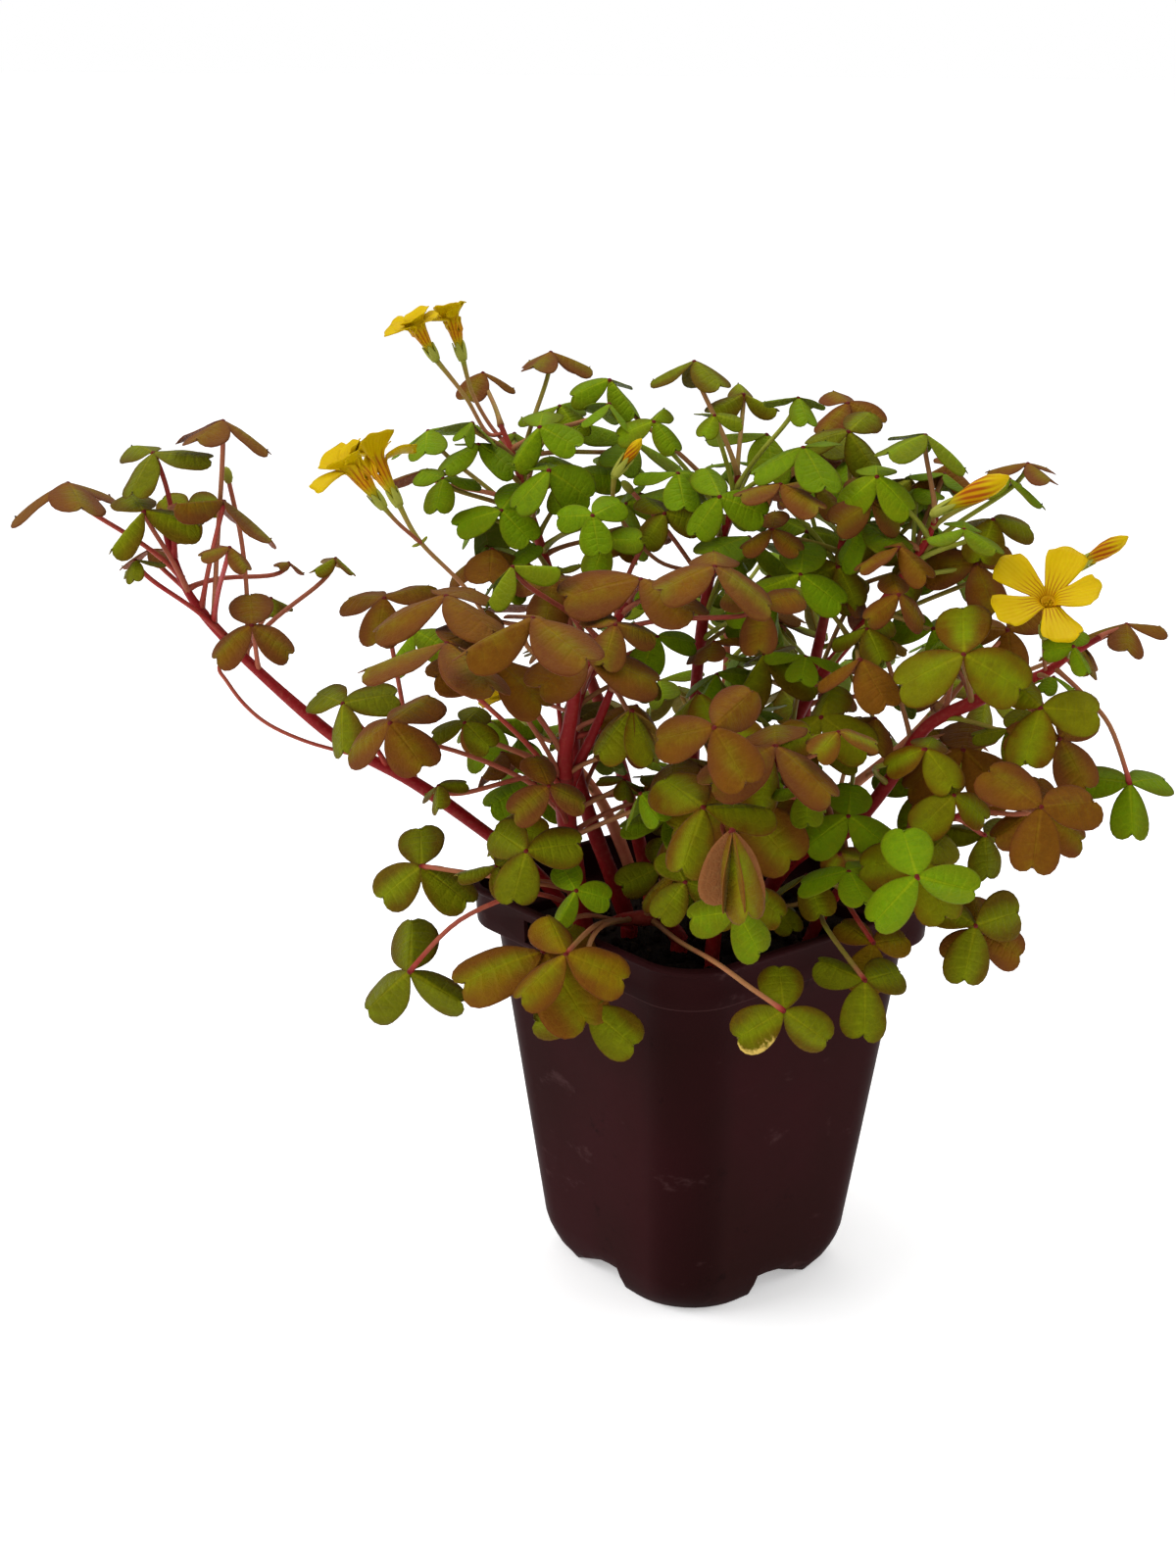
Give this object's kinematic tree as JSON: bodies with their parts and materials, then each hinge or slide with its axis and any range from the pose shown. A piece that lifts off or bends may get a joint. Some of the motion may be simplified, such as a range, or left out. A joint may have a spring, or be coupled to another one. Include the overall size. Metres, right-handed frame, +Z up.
{
  "type": "potted oxalis plant",
  "caption": "Potted sunset velvet oxalis: bronze, olive and green heart-leaved stems with small yellow flowers, in a square plum-brown nursery pot of soil.",
  "frame": {"origin": "middle of the pot's underside, in the plane that it stands on", "axes": "+Z up, -Y towards the viewer of the picture, +X to the viewer's right; the pot stands turned with a corner to the viewer"},
  "size_m": [0.3342, 0.2087, 0.2899],
  "materials": {
    "pot_plastic": "satin",
    "soil": "matte",
    "leaf_brown": "matte",
    "leaf_copper": "matte",
    "leaf_olive": "matte",
    "leaf_mustard": "matte",
    "leaf_green": "matte",
    "petal_yellow": "matte"
  },
  "bodies": {
    "root": {"pot": "pot_plastic", "soil": "soil", "stem_left_long": "leaf_brown", "stem_front": "leaf_copper", "stem_second": "leaf_copper", "stem_crown": "leaf_olive", "stem_right_long": "leaf_mustard", "stem_right_mid": "leaf_green", "stem_back_centre": "leaf_green", "stem_back_right": "leaf_green", "stem_back_left": "leaf_green", "stem_low_right": "leaf_mustard", "stem_front_centre": "leaf_copper", "stem_back_low_left": "leaf_green", "stem_back_low_centre": "leaf_green", "stem_back_low_right": "leaf_green", "bloom_top_outer": "petal_yellow", "bloom_top_inner": "petal_yellow", "bloom_left_outer": "petal_yellow", "bloom_left_inner": "petal_yellow", "bloom_centre_bud": "petal_yellow", "bloom_right_bud": "petal_yellow", "bloom_right_open": "petal_yellow", "bloom_outer_bud": "petal_yellow", "bloom_inner_left": "petal_yellow"}
  },
  "joints": []
}
